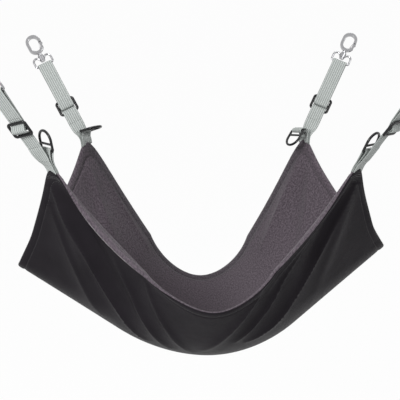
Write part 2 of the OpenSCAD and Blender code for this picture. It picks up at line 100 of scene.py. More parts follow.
camera_data = bpy.data.cameras.new("camera")
camera_data.sensor_width = SENSOR
camera_data.lens = LENS
camera = bpy.data.objects.new("camera", camera_data)
bpy.context.scene.collection.objects.link(camera)
away = Vector((
    math.sin(CAMERA_TURN) * math.cos(CAMERA_HEIGHT),
    -math.cos(CAMERA_TURN) * math.cos(CAMERA_HEIGHT),
    math.sin(CAMERA_HEIGHT),
))
camera.location = CAMERA_AIM + away * CAMERA_DISTANCE
camera.rotation_euler = (-away).to_track_quat("-Z", "Y").to_euler()
bpy.context.scene.camera = camera
print("camera at", [round(x, 3) for x in camera.location])

# %% [markdown]
# ## White floor
# The photograph has a white background. Bright lamps on a white floor would bleach the webbing
# long before the floor turned white. So the floor is pale paint that glows only for rays from the
# camera, from reflections and through glass. The bed gets no light from that glow, and the bit of
# paint that is left in the mix still takes the faint shadow.

# %% A plain mesh
def plain_mesh(name, points, faces):
    mesh = bpy.data.meshes.new(name)
    mesh.from_pydata([tuple(p) for p in points], [], [tuple(f) for f in faces])
    made = bpy.data.objects.new(name, mesh)
    bpy.context.scene.collection.objects.link(made)
    return made

# %% A value for the rays that show the background
BACKGROUND_GLOW = 0.97

def seen_rays(tree, otherwise, seen):
    ray = tree.nodes.new("ShaderNodeLightPath")
    share = tree.nodes.new("ShaderNodeMapRange")
    share.inputs["To Min"].default_value = otherwise
    share.inputs["To Max"].default_value = seen
    last = ray.outputs["Is Camera Ray"]
    for kind in ("Is Glossy Ray", "Is Transmission Ray"):
        either = tree.nodes.new("ShaderNodeMath")
        either.operation = "MAXIMUM"
        tree.links.new(last, either.inputs[0])
        tree.links.new(ray.outputs[kind], either.inputs[1])
        last = either.outputs[0]
    tree.links.new(last, share.inputs["Value"])
    return share.outputs["Result"]

# %% Floor
FLOOR_DROP = 420 * MM
FLOOR_SIZE = 60.0
FLOOR_COLOUR = (0.86, 0.86, 0.86, 1)
FLOOR_ROUGHNESS = 0.9

def floor_paint():
    made = bpy.data.materials.new("floor_paint")
    made.use_nodes = True
    nodes, links = made.node_tree.nodes, made.node_tree.links
    paint = nodes["Principled BSDF"]
    paint.inputs["Base Color"].default_value = FLOOR_COLOUR
    paint.inputs["Roughness"].default_value = FLOOR_ROUGHNESS
    glow = nodes.new("ShaderNodeEmission")
    mixed = nodes.new("ShaderNodeMixShader")
    links.new(seen_rays(made.node_tree, 0, BACKGROUND_GLOW), mixed.inputs[0])
    links.new(paint.outputs[0], mixed.inputs[1])
    links.new(glow.outputs[0], mixed.inputs[2])
    links.new(mixed.outputs[0], nodes["Material Output"].inputs["Surface"])
    return made

floor_z = cad_box[0][2] - FLOOR_DROP
half = FLOOR_SIZE / 2
floor_corners = [(-half, -half), (half, -half), (half, half), (-half, half)]
floor = plain_mesh("floor", [(x, y, floor_z) for x, y in floor_corners], [(0, 1, 2, 3)])
floor.data.materials.append(floor_paint())
print("floor at", round(floor_z, 3))

# %% [markdown]
# ## Studio light
# Black cloth shows its folds only where light comes in at a slant. A single broad lamp in front
# would flatten them. So the main soft box stands low at the front left, a weaker one at the right
# opens the shadows, and one above lights the fleece. Each has its place, its width and its watts.
# A dim even sky does the rest, and it is white for the camera and for reflections, as the floor is.

# %% Lights
BED = Vector((0, 0, -0.25))
SOFT_BOXES = {
    "key_light": ((-1.1, -2.0, 0.8), 0.7, 52),
    "fill_light": ((1.6, -1.5, 0.9), 0.8, 13),
    "top_light": ((0.2, 0.1, 1.6), 1.0, 11),
}
SKY_LIGHT = 0.2

def soft_box(name, place, width, watts):
    lamp = bpy.data.lights.new(name, "AREA")
    lamp.shape = "SQUARE"
    lamp.size = width
    lamp.energy = watts
    made = bpy.data.objects.new(name, lamp)
    made.location = place
    made.rotation_euler = (BED - Vector(place)).to_track_quat("-Z", "Y").to_euler()
    bpy.context.scene.collection.objects.link(made)

for name, (place, width, watts) in SOFT_BOXES.items():
    soft_box(name, place, width, watts)

sky = bpy.data.worlds.new("studio")
bpy.context.scene.world = sky
sky.use_nodes = True
background = sky.node_tree.nodes["Background"]
background.inputs["Color"].default_value = (1, 1, 1, 1)
sky_strength = seen_rays(sky.node_tree, SKY_LIGHT, BACKGROUND_GLOW)
sky.node_tree.links.new(sky_strength, background.inputs["Strength"])
bpy.context.scene.view_settings.view_transform = "Standard"
print(len(SOFT_BOXES), "soft boxes and a plain sky")

# %% [markdown]
# ## Corners and their axes
# Each strap hangs on a seam at a bevelled corner of the cloth. The joints of the frame already
# hold that seam, the way the strap runs and the bar of its bail, so they are read from there.
# Typing the same numbers in again would work too, but only until the part changes.

# %% Read the corners
SIDES = {"front_left": (-1, -1), "front_right": (1, -1), "back_left": (-1, 1), "back_right": (1, 1)}

def read_corner(name):
    swing, bail = joints["strap_swing_" + name], joints["bail_swing_" + name]
    low, high = (np.array(end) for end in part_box("slider_" + name))
    slider = (low + high) / 2
    bail_at = np.array(bail["pos_m"])
    c = SimpleNamespace(name=name, side=SIDES[name])
    c.seam = np.array(swing["pos_m"])
    c.seam_x = -np.array(swing["axis"])
    c.up = np.array(joints["strap_length_" + name]["axis"])
    c.strap_x = np.array(bail["axis"])
    c.out = np.cross(c.up, c.strap_x)
    c.turn = math.atan2(np.cross(c.seam_x, c.strap_x) @ c.up, c.seam_x @ c.strap_x)
    c.length = (bail_at - c.seam) @ c.up
    c.slider_at = (slider - c.seam) @ c.up
    c.slider_out = (slider - c.seam) @ c.out
    c.bail_out = (bail_at - c.seam) @ c.out
    return c

corners = [read_corner(name) for name in SIDES]
for c in corners:
    twist = round(math.degrees(c.turn))
    print(c.name, "strap", round(c.length / MM), "slider at", round(c.slider_at / MM), "twist", twist)

# %% [markdown]
# ## The hanging cloth
# A rectangle of cloth held by its corners forms a keel from end to end, with walls that steepen
# towards the corners and a hem that rolls outward. A simulation would find such a form, but not
# this very one. The photograph fixes it, so a formula bends the cut cloth: an arc and a straight
# run along the keel, the same across it, and a reverse arc for the hem. Values with two signs are
# for the left (-1) and right (1) end, or for the front (-1) and back (1) wall.

# %% Cut cloth and its bends
CLOTH_W, CLOTH_L = 560 * MM, 426 * MM
HALF_W, HALF_L = CLOTH_W / 2, CLOTH_L / 2
CORNER_CUT = 24 * MM / math.sqrt(2)
KEEL_END = {-1: math.radians(32.5), 1: math.radians(39.5)}
KEEL_ROUND, KEEL_SHIFT, KEEL_BACK = 125 * MM, 9 * MM, 15 * MM
KEEL_BACK_POWER = 4
MID_WALL = {-1: math.radians(43), 1: math.radians(23)}
CORNER_WALL = {
    (-1, -1): math.radians(57.5), (1, -1): math.radians(51),
    (-1, 1): math.radians(68), (1, 1): math.radians(58.5),
}
MID_ROUND = 156 * MM
END_ROUND = {-1: 28 * MM, 1: 39 * MM}
LEAN = {-1: 0.54, 1: 0.85}
FRONT_ROLL = {-1: math.radians(116), 1: math.radians(64)}
BACK_ROLL = math.radians(8)

print("cut cloth in mm:", round(CLOTH_W / MM), "by", round(CLOTH_L / MM))

# %% An arc with a straight run, and a rolled hem
HEM_W = 26 * MM
LEAST_ROLL = 1e-4

def bend(s, turn, angle):
    radius = turn / angle
    k = np.minimum(s, turn) / radius
    rest = np.maximum(0, s - turn)
    return radius * np.sin(k) + rest * np.cos(angle), radius * (1 - np.cos(k)) + rest * np.sin(angle)

def hem(s, angle, roll):
    back = np.maximum(roll, LEAST_ROLL)
    radius = HEM_W / back
    k = angle - back * s / HEM_W
    return radius * (np.sin(angle) - np.sin(k)), radius * (np.cos(k) - np.cos(angle))

keel_rise = {side: bend(HALF_W, KEEL_ROUND, KEEL_END[side])[1] for side in KEEL_END}
print("keel rises to its ends by, mm:", [round(rise / MM) for rise in keel_rise.values()])

# %% Values by side and by corner
def by_side(values, sign):
    return np.where(sign < 0, values[-1], values[1])

def by_corner(values, sx, sy):
    front = np.where(sx < 0, values[-1, -1], values[1, -1])
    back = np.where(sx < 0, values[-1, 1], values[1, 1])
    return np.where(sy < 0, front, back)

# %% The hung form
ROLL_RISE, ROLL_FALL = 3, 1.5
MIDDLE_ROUND = 0.15
HOOK_RISE = 134 * MM

def roll_share(share):
    most = ROLL_RISE / (ROLL_RISE + ROLL_FALL)
    peak = most ** ROLL_RISE * (1 - most) ** ROLL_FALL
    return share ** ROLL_RISE * (1 - share) ** ROLL_FALL / peak

def hung(a, b):
    share = np.minimum(1, np.abs(a) / HALF_W)
    reach = math.hypot(1, MIDDLE_ROUND) - MIDDLE_ROUND
    t = (np.hypot(share, MIDDLE_ROUND) - MIDDLE_ROUND) / reach
    set_back = KEEL_BACK * (1 - share ** KEEL_BACK_POWER)
    sx, sy = np.where(a < 0, -1, 1), np.where(b < set_back, -1, 1)
    keel_x, keel_z = bend(np.abs(a), KEEL_ROUND, by_side(KEEL_END, sx))
    slope = by_side(KEEL_END, sx) * np.minimum(1, np.abs(a) / KEEL_ROUND)
    mid = by_side(MID_WALL, sy)
    wall = mid + (by_corner(CORNER_WALL, sx, sy) - mid) * t
    turn = MID_ROUND + (by_side(END_ROUND, sx) - MID_ROUND) * t
    roll = np.where(sy < 0, by_side(FRONT_ROLL, sx), BACK_ROLL) * roll_share(share)
    flat = HALF_L - sy * set_back - HEM_W
    s = np.abs(b - set_back)
    along, height = bend(np.minimum(s, flat), turn, wall)
    hem_along, hem_height = hem(np.maximum(0, s - flat), wall, roll)
    along, height = along + hem_along, height + hem_height
    tip = slope * by_side(LEAN, sy)
    x = KEEL_SHIFT + sx * (keel_x - height * np.sin(tip))
    return np.stack([x, sy * along, keel_z + height * np.cos(tip)], -1)

corner_flat = np.array([-(HALF_W - CORNER_CUT / 2), -(HALF_L - CORNER_CUT / 2)])
hang_z = hung(*corner_flat)[2] + HOOK_RISE
print("keel below the hooks, mm:", round(hang_z / MM, 1))

# %% [markdown]
# ## Pull folds
# The weight pulls the cloth into long folds that run out from the corners. They could be sculpted
# on each layer, but the broad ones bend both layers together, so they are part of the form of the
# cloth itself, moved along its normal. Each has its corner, its angle in degrees, its share of the
# full height and its half width in millimetres.

# %% Broad folds
FOLD_H = 5 * MM
FOLD_START, FOLD_FULL, FOLD_END = 20 * MM, 80 * MM, 210 * MM
FOLDS = [
    (-1, -1, 33, 1, 15), (-1, -1, 50, -0.7, 11), (1, -1, 34, 1, 15),
    (1, -1, 50, -0.7, 11), (-1, 1, 40, -0.6, 16), (1, 1, 40, -0.6, 16),
]
PROBE = 1 * MM

def smooth(x):
    c = np.clip(x, 0, 1)
    return c * c * (3 - 2 * c)

def fold_sum(a, b):
    total = np.zeros_like(a)
    for sx, sy, angle, share, width in FOLDS:
        p, q = HALF_W - sx * a, HALF_L - sy * b
        cos, sin = math.cos(math.radians(angle)), math.sin(math.radians(angle))
        along, across = p * cos + q * sin, q * cos - p * sin
        rise = smooth((along - FOLD_START) / (FOLD_FULL - FOLD_START))
        fade = 1 - smooth((along - FOLD_FULL) / (FOLD_END - FOLD_FULL))
        total += FOLD_H * share * rise * fade * np.exp(-(across / (width * MM)) ** 2)
    return total

def inward(form, a, b):
    n = np.cross(form(a + PROBE, b) - form(a - PROBE, b), form(a, b + PROBE) - form(a, b - PROBE))
    return n / np.linalg.norm(n, axis=-1, keepdims=True)

def cloth(a, b):
    a, b = np.asarray(a, float), np.asarray(b, float)
    return hung(a, b) + fold_sum(a, b)[..., None] * inward(hung, a, b) - np.array([0, 0, hang_z])

print(len(FOLDS), "broad folds, middle of the keel at, mm:", round(cloth(0, KEEL_BACK)[2] / MM, 1))

# %% [markdown]
# ## The grid of the cloth
# The cloth is drawn on a grid that crowds towards its edges and draws in at its corners, where the
# straps are sewn on. The pull also draws each short end in to a shallow hollow on both sides of its
# middle. An even grid would need many more points for the same round edge. Distances to the edge
# and to the line of the topstitch come from the same grid, so hem, groove and stitches agree.

# %% Grid
EDGE_DENSITY = 0.45
CORNER_POWER = 24
END_DRAW = {(-1, -1): 7 * MM, (1, -1): 10 * MM, (-1, 1): 13 * MM, (1, 1): 13 * MM}
END_DRAW_FROM = 0.45
END_DRAW_REACH, END_DRAW_CORNER = 2, 8

def end_draw(u, v):
    out = np.abs(v)
    fade = smooth(out / END_DRAW_FROM) * (1 - out ** END_DRAW_CORNER)
    return by_corner(END_DRAW, u, v) * u ** END_DRAW_REACH * fade

def draw_in(u, v):
    a = u * (HALF_W - CORNER_CUT / 2 * np.abs(v) ** CORNER_POWER - end_draw(u, v))
    b = v * (HALF_L - CORNER_CUT / 2 * np.abs(u) ** CORNER_POWER)
    return a, b

def grid(cols, rows):
    def line(n):
        t = np.linspace(-1, 1, n + 1)
        return t + (np.sin(t * math.pi / 2) - t) * EDGE_DENSITY
    return np.meshgrid(line(cols), line(rows), indexing="ij")

print("short ends drawn in by up to", round(max(END_DRAW.values()) / MM), "mm")

# %% Hem and stitch line
EDGE_ROUND = 3.2 * MM
STITCH_IN = 11 * MM
STITCH_ROUND = 15 * MM

def edge_round(u, v):
    to_edge = np.minimum((1 - np.abs(u)) * HALF_W, (1 - np.abs(v)) * HALF_L)
    return np.sqrt(np.maximum(0, 1 - (1 - np.minimum(1, to_edge / EDGE_ROUND)) ** 2))

def past_stitch(u, v):
    q = np.stack([
        np.abs(u) * HALF_W - (HALF_W - STITCH_IN - STITCH_ROUND),
        np.abs(v) * HALF_L - (HALF_L - STITCH_IN - STITCH_ROUND),
    ], -1)
    return np.linalg.norm(np.maximum(q, 0), axis=-1) + np.minimum(q.max(-1), 0) - STITCH_ROUND

def hem_relief(u, v, puff, groove, width):
    d = past_stitch(u, v)
    inside_hem = np.sin(math.pi * np.clip(d / STITCH_IN, 0, 1))
    return puff * inside_hem - groove * np.exp(-(d / width) ** 2)

def corner_bulge(a, b, height, reach):
    r = np.hypot(np.abs(a) - (HALF_W - CORNER_CUT / 2), np.abs(b) - (HALF_L - CORNER_CUT / 2))
    return height * np.exp(-(r / reach) ** 2)

print("stitch line", round(STITCH_IN / MM), "mm from the edge")

# %% [markdown]
# ## Creases
# The thin shell also has sharp creases of its own, and the thick fleece has softer ones. A noise
# would give creases somewhere, but these have their places. Each was followed on the photograph
# and put back on the cut cloth: a start, a control point and an end, with the height and half
# width of the ridge, all in millimetres from the middle of the cloth.

# %% Crease lines
SHELL_CREASES = [
    ((-268, -184), (-172, -108), (-82, -62), 3.6, 3.4),
    ((-268, -184), (-172, -108), (-82, -62), 4.0, 10),
    ((-262, -158), (-210, -98), (-150, -42), 5.6, 13),
    ((-168, -172), (-105, -128), (-48, -70), 5.0, 7),
    ((-120, -190), (-70, -146), (-22, -80), 4.0, 7),
    ((262, -190), (160, -104), (44, -108), 3.6, 4),
    ((262, -190), (160, -104), (44, -108), 5.0, 13),
    ((256, -202), (180, -198), (96, -188), 5.0, 10),
    ((182, -186), (88, -174), (30, -118), 5.6, 6),
    ((92, -206), (32, -184), (-14, -96), 4.4, 7),
    ((256, -190), (266, -150), (268, -50), 2.4, 7),
    ((-258, 150), (-200, 90), (-120, 30), 4.0, 9),
    ((255, 150), (200, 90), (120, 30), 4.0, 9),
]
LINER_FOLDS = [
    ((-258, 186), (-226, 172), (-160, 140), 8.0, 9),
    ((-246, 203), (-190, 196), (-110, 188), 2.6, 4),
    ((258, 194), (214, 187), (130, 169), 8.0, 11),
    ((262, 176), (236, 150), (170, 110), 4.0, 12),
    ((-240, -150), (-170, -90), (-90, -50), 1.6, 12),
    ((240, -150), (170, -90), (90, -50), 1.6, 12),
]
print(len(SHELL_CREASES), "creases on the shell,", len(LINER_FOLDS), "folds on the liner")

# %% Crease field
CREASE_STEPS = 48
CREASE_ENDS = 0.6
CREASE_SIDES = 1.25

def curve(p0, p1, p2, count):
    t = np.linspace(0, 1, count)[:, None]
    return (1 - t) ** 2 * p0 + 2 * t * (1 - t) * p1 + t ** 2 * p2

def creases(a, b, lines):
    total = np.zeros_like(a)
    shares = np.linspace(0, 1, CREASE_STEPS)
    for start, control, end, height, width in lines:
        near = np.full(a.shape, np.inf)
        at = np.zeros_like(a)
        points = curve(*(np.array(p) * MM for p in (start, control, end)), CREASE_STEPS)
        for point, share in zip(points, shares):
            d = np.hypot(a - point[0], b - point[1])
            closer = d < near
            near = np.where(closer, d, near)
            at = np.where(closer, share, at)
        along = np.sin(math.pi * at) ** CREASE_ENDS
        total += height * MM * along * np.exp(-(near / (width * MM)) ** CREASE_SIDES)
    return total

PROOF_GRID = (60, 48)
proof = draw_in(*grid(*PROOF_GRID))
for what, lines in (("crease of the shell", SHELL_CREASES), ("fold of the liner", LINER_FOLDS)):
    print("highest", what, "in mm:", round(creases(*proof, lines).max() / MM, 1))

# %% [markdown]
# ## Sheets
# The real cloths are thin sheets, sewn together all round. A plane with a Solidify modifier would
# give an even thickness. Here a sheet is closed by hand, so that its shown face carries the detail
# and its hidden face lies where the two layers meet. Both faces share the vertices of the rim, so
# the sewn edge is one round fold. The UV map holds the flat place on the cut cloth, in metres.

# %% Closed sheet
def add_uv(mesh, flat):
    corners_of_faces = np.empty(len(mesh.loops), np.int32)
    mesh.loops.foreach_get("vertex_index", corners_of_faces)
    layer = mesh.uv_layers.new(name="cut")
    layer.data.foreach_set("uv", np.asarray(flat, np.float32)[corners_of_faces].ravel())
    mesh.shade_smooth()

def closed_sheet(name, shown, hidden, cut, faces_in):
    cols, rows = shown.shape[0] - 1, shown.shape[1] - 1
    front = np.arange(shown.shape[0] * shown.shape[1]).reshape(shown.shape[:2])
    back = front.copy()
    back[1:-1, 1:-1] = front.size + np.arange((cols - 1) * (rows - 1)).reshape(cols - 1, rows - 1)

    def quads(g, flip):
        q = np.stack([g[:-1, :-1], g[1:, :-1], g[1:, 1:], g[:-1, 1:]], -1).reshape(-1, 4)
        return q[:, ::-1] if flip else q

    points = np.concatenate([shown.reshape(-1, 3), hidden[1:-1, 1:-1].reshape(-1, 3)])
    flat = np.concatenate([cut.reshape(-1, 2), cut[1:-1, 1:-1].reshape(-1, 2)])
    made = plain_mesh(name, points, np.concatenate([quads(front, not faces_in), quads(back, faces_in)]))
    add_uv(made.data, flat)
    print(name, len(made.data.polygons), "quads")
    return made

def cut_cloth(cols, rows):
    u, v = grid(cols, rows)
    a, b = draw_in(u, v)
    return u, v, cloth(a, b), inward(cloth, a, b), np.stack([a, b], -1)

# %% [markdown]
# ## Outer shell
# The black outer cloth is smooth and thin, so its creases and its hem show most. A bump in the
# finish could fake them, but the outline would stay flat. So the outer face of the sheet is really
# lifted: by its thickness, the puffed hem, the sewn corners and the creases. The values of the hem
# are its puff, the depth of the stitched groove and the groove's half width, and those of the bulge
# are its height and its reach.

# %% Outer shell
SHELL_GRID = (248, 196)
SHELL_T = 1.2 * MM
SHELL_HEM = (0.5 * MM, 0.6 * MM, 1.6 * MM)
SHELL_BULGE = (1.5 * MM, 11 * MM)

def shell_lift(u, v):
    a, b = draw_in(u, v)
    return edge_round(u, v) * (
        SHELL_T
        + hem_relief(u, v, *SHELL_HEM)
        + corner_bulge(a, b, *SHELL_BULGE)
        + creases(a, b, SHELL_CREASES)
    )

u, v, meet, into, cut = cut_cloth(*SHELL_GRID)
shell = closed_sheet("shell_cloth", meet - shell_lift(u, v)[..., None] * into, meet, cut, False)

# %% [markdown]
# ## Fleece
# The liner is a short fleece, so its face is never quite even. Hair particles would be far too
# many for so short a pile, so a fine noise lifts the nap by a tenth or so of a millimetre, and the
# finish adds what is finer than the mesh.

# %% Fleece liner
LINER_GRID = (240, 184)
LINER_T = 2.4 * MM
LINER_HEM = (0.6 * MM, 1.1 * MM, 1.8 * MM)
LINER_BULGE = (1.6 * MM, 11 * MM)
NAP_H, NAP_SIZE, NAP_LAYER = 0.15 * MM, 3.4 * MM, 0.5

def nap(a, b):
    flat = np.stack([a.ravel(), b.ravel()], -1) / NAP_SIZE
    return np.array([noise.noise(Vector((x, y, NAP_LAYER))) for x, y in flat]).reshape(a.shape)

def liner_lift(u, v):
    a, b = draw_in(u, v)
    return edge_round(u, v) * (
        LINER_T
        + hem_relief(u, v, *LINER_HEM)
        + corner_bulge(a, b, *LINER_BULGE)
        + creases(a, b, LINER_FOLDS)
        + NAP_H * nap(a, b)
    )

u, v, meet, into, cut = cut_cloth(*LINER_GRID)
liner = closed_sheet("liner_fleece", meet + liner_lift(u, v)[..., None] * into, meet, cut, True)

# %% [markdown]
# ## Webbing
# The straps are flat woven webbing with lengthwise ribs. A flat box would look like card, so a
# section with round edges and low ribs is swept along the path of the strap. The same sweep makes
# every run, and the path says how the webbing lies, bends and twists.

# %% Webbing section
WEB_W, WEB_T = 20 * MM, 1.5 * MM
RIBS = 7
RIB_H = 0.10 * MM
SECTION_STEPS = 45
SELVEDGE_POWER, SELVEDGE_ROUND = 10, 0.3

def webbing_section():
    x = np.linspace(-1, 1, SECTION_STEPS)
    body = np.maximum(0, 1 - np.abs(x) ** SELVEDGE_POWER) ** SELVEDGE_ROUND
    height = body * (WEB_T / 2 - RIB_H + RIB_H * np.cos(x * RIBS * math.pi))
    face = np.stack([x * WEB_W / 2, height], -1)
    other = np.stack([x * WEB_W / 2, -height], -1)[1:-1][::-1]
    return np.concatenate([face, other])

SECTION = webbing_section()
print("webbing section of", len(SECTION), "points with", RIBS, "ribs")

# %% Sweep the section
def run_length(path):
    return np.concatenate([[0], np.cumsum(np.linalg.norm(np.diff(path, axis=0), axis=-1))])

def webbing(name, path, across):
    path = np.asarray(path, float)
    along = np.gradient(path, axis=0)
    along /= np.linalg.norm(along, axis=-1, keepdims=True)
    across = np.broadcast_to(across, path.shape)
    across = across - (across * along).sum(-1, keepdims=True) * along
    across = across / np.linalg.norm(across, axis=-1, keepdims=True)
    up = np.cross(along, across)
    points = path[:, None] + SECTION[None, :, :1] * across[:, None] + SECTION[None, :, 1:] * up[:, None]
    rows, ring = len(path), len(SECTION)
    number = np.arange(rows * ring).reshape(rows, ring)
    after = np.roll(number, -1, axis=1)
    sides = np.stack([number[:-1], number[1:], after[1:], after[:-1]], -1).reshape(-1, 4)
    faces = [tuple(f) for f in sides] + [tuple(number[0]), tuple(number[-1][::-1])]
    made = plain_mesh(name, points.reshape(-1, 3), faces)
    run = run_length(path)[:, None]
    flat = np.stack(np.broadcast_arrays(SECTION[None, :, 0], run), -1).reshape(-1, 2)
    add_uv(made.data, flat)
    return made

# %% [markdown]
# ## Places on a strap
# A strap is easiest to draw in its own frame: height along the strap, and distance out from its
# face. These helpers turn such places into the scene. They also know how the webbing twists above
# its seam, how far it swells over the middle bar of the slider, and where it bows out a little to
# leave room for the ring tab, which it would touch when it swings in.

# %% Places on a strap
TWIST_LEN = 28 * MM
RUN_STEP = 1.2 * MM

def in_plane(x, y, first, second):
    return np.multiply.outer(np.asarray(x, float), first) + np.multiply.outer(np.asarray(y, float), second)

def on_strap(c, y, z):
    return c.seam + in_plane(y, z, c.out, c.up)

def strap_across(c, z):
    turn = c.turn * smooth(np.asarray(z, float) / TWIST_LEN)
    return in_plane(np.cos(turn), np.sin(turn), c.seam_x, np.cross(c.up, c.seam_x))

def steps(start, end):
    return np.linspace(start, end, max(2, int(round((end - start) / RUN_STEP)) + 1))

# %% Room beside the tab and over the slider
TAB_ROOM = 0.9 * MM
TAB_ROOM_FROM, TAB_ROOM_TO, TAB_ROOM_EASE = 5 * MM, 30 * MM, 8 * MM
SLIDER_PITCH, SLIDER_BAR = 9.6 * MM, 1.3 * MM
FIT_GAP = 0.15 * MM
BULGE_ROOM = 0.6 * MM

def tab_room(z):
    z = np.asarray(z, float)
    rise, fall = ((z - edge) / TAB_ROOM_EASE for edge in (TAB_ROOM_FROM, TAB_ROOM_TO))
    return TAB_ROOM * smooth(rise) * (1 - smooth(fall))

def run_out(c, z):
    bulge = c.slider_out + SLIDER_BAR + 3 * FIT_GAP + 1.5 * WEB_T + BULGE_ROOM
    near = np.clip(np.abs(z - c.slider_at) / SLIDER_PITCH, 0, 1)
    return bulge * (1 + np.cos(math.pi * near)) / 2 + tab_room(z)

for c in corners:
    print(c.name, "webbing swells over its slider by", round(float(run_out(c, c.slider_at)) / MM, 1), "mm")

# %% [markdown]
# ## Lower runs
# Near its seam the webbing bends and twists. Then it runs under the lower bar of the slider, over
# the middle bar and under the upper one. One long sweep would do at rest, but it could not follow
# the motions. So the run is split where they change: a foot at the seam, a lower run, and a run
# through the slider.

# %% Feet
FOOT_BEND, FOOT_TOP = 6 * MM, 13 * MM
FOOT_STEPS = 14
SEWN_IN = 9 * MM

def bevel_out(c):
    a, b = c.side[0] * (HALF_W - CORNER_CUT / 2), c.side[1] * (HALF_L - CORNER_CUT / 2)
    d = CORNER_CUT / 2
    out = cloth(a, b) - cloth(a - c.side[0] * d, b - c.side[1] * d)
    return out / np.linalg.norm(out)

def strap_foot(c):
    sunk = c.seam - bevel_out(c) * SEWN_IN
    rise = steps(FOOT_BEND, FOOT_TOP)
    path = np.concatenate([
        curve(sunk, c.seam, on_strap(c, tab_room(FOOT_BEND), FOOT_BEND), FOOT_STEPS)[:-1],
        on_strap(c, tab_room(rise), rise),
    ])
    z = np.maximum(0, (path - c.seam) @ c.up)
    return webbing("strap_foot_" + c.name, path, strap_across(c, z))

# %% Lower runs
SLIDER_ROD = 1.8 * MM
STRAP_CUT = 2.5 * MM

def strap_run(c, name, start, end):
    z = steps(start, end)
    return webbing(name + c.name, on_strap(c, run_out(c, z), z), strap_across(c, z))

webbing_pieces = []
for c in corners:
    c.half_way = (FOOT_TOP + c.slider_at - SLIDER_PITCH) / 2
    c.run_end = c.slider_at + SLIDER_PITCH + SLIDER_ROD + STRAP_CUT
    c.foot = strap_foot(c)
    c.lower = strap_run(c, "strap_lower_", FOOT_TOP, c.half_way)
    c.through = strap_run(c, "strap_through_slider_", c.half_way, c.run_end)
    webbing_pieces += [c.foot, c.lower, c.through]
print(len(webbing_pieces), "lower runs of webbing")

# %% [markdown]
# ## Upper loops
# Above the slider the webbing goes up, round the bar of the bail, and back down behind itself to
# the middle bar of the slider, where its end is sewn. Bending a straight strip with modifiers is
# hard to steer, so the path is drawn in the plane of the strap from straight runs and two arcs.

# %% Upper loops
WRAP_FROM, WRAP_TO = math.radians(192), math.radians(480)
BAIL_STEPS, BAR_STEPS = 15, 25

def arc(centre, radius, start, end, count):
    t = np.linspace(start, end, count)
    return np.stack([centre[0] + radius * np.cos(t), centre[1] + radius * np.sin(t)], -1)

def straight(start, end):
    count = max(2, int(round(math.dist(start, end) / RUN_STEP)))
    return np.linspace(start, end, count + 1)

def strap_loop(c):
    wrap = SLIDER_BAR + FIT_GAP + WEB_T / 2
    round_bail = arc((c.bail_out, c.length), -c.bail_out, 0, math.pi, BAIL_STEPS)
    round_bar = arc((c.slider_out, c.slider_at), wrap, WRAP_FROM, WRAP_TO, BAR_STEPS)
    passing = (-(WEB_T + FIT_GAP), c.slider_at + SLIDER_PITCH)
    flat = np.concatenate([
        straight((0, c.run_end), round_bail[0])[:-1],
        round_bail[:-1],
        straight(round_bail[-1], passing)[:-1],
        straight(passing, round_bar[0])[:-1],
        round_bar,
    ])
    return webbing("strap_loop_webbing_" + c.name, on_strap(c, flat[:, 0], flat[:, 1]), c.strap_x)

for c in corners:
    c.loop = strap_loop(c)
    webbing_pieces.append(c.loop)
print(len(corners), "upper loops of webbing")

# %% [markdown]
# ## Ring tabs
# A short strip of webbing is folded over the back bar of each D-ring and sewn in beside the strap.
# It is soft, so at every corner it has flopped over by its own angle. A flat strip bent to an arc
# gives that: both plies follow the arc, spread towards the bar and close round it.

# %% Ring tabs
TAB_LEN = {"front_left": 24 * MM, "front_right": 24 * MM, "back_left": 12 * MM, "back_right": 20 * MM}
TAB_BEND = {"front_left": 44, "front_right": 10, "back_left": 48, "back_right": 158}
TAB_BASE = 4 * MM
TAB_ASIDE, TAB_DOWN = 1.5 * WEB_T + 2 * FIT_GAP, WEB_T / 3
RING_ROD = 1.6 * MM
RING_WRAP = RING_ROD + FIT_GAP
TAB_GAP = 0.06 * MM
TAB_SUNK = 8 * MM
TAB_START = 3 * MM
TAB_ARC_STEPS, TAB_FOOT_STEPS = 15, 9
AWAY, NEAR = -1, 1

def tab_ray(c, run):
    t = c.tab_bend * np.asarray(run, float) / c.tab_len
    return np.stack([np.cos(t), np.sin(t)], -1)

def tab_middle(c, run):
    return c.tab_len / c.tab_bend * (tab_ray(c, run) - [1, 0])

def tab_ply(c, side, run):
    spread = np.maximum(0, run - TAB_BASE) / (c.tab_len - TAB_BASE)
    y = WEB_T / 2 + TAB_GAP + (RING_WRAP - TAB_GAP) * spread
    return tab_middle(c, run) + side * y[:, None] * tab_ray(c, run)

def on_tab(c, flat):
    aside = np.cross(c.up, c.seam_x)
    base = c.seam - aside * TAB_ASIDE - c.up * TAB_DOWN
    return base + in_plane(flat[..., 0], flat[..., 1], aside, c.up)

def ring_tab(c):
    c.tab_len, c.tab_bend = TAB_LEN[c.name], math.radians(TAB_BEND[c.name])
    bar = tab_middle(c, c.tab_len)
    over = arc(bar, RING_WRAP + WEB_T / 2, math.pi + c.tab_bend, c.tab_bend, TAB_ARC_STEPS)
    run = steps(TAB_START, c.tab_len)
    rise = on_tab(c, np.concatenate([tab_ply(c, AWAY, run)[:-1], over, tab_ply(c, NEAR, run)[-2::-1]]))
    away, near = (on_tab(c, tab_ply(c, side, np.zeros(1)))[0] for side in (AWAY, NEAR))
    sunk = bevel_out(c) * TAB_SUNK
    path = np.concatenate([
        curve(away - sunk, away, rise[0], TAB_FOOT_STEPS)[:-1],
        rise,
        curve(rise[-1], near, near - sunk, TAB_FOOT_STEPS)[1:],
    ])
    return webbing("ring_tab_webbing_" + c.name, path, c.seam_x)

for c in corners:
    c.tab = ring_tab(c)
    webbing_pieces.append(c.tab)
webbing_faces = sum(len(piece.data.polygons) for piece in webbing_pieces)
print(len(webbing_pieces), "pieces of webbing,", webbing_faces, "faces")

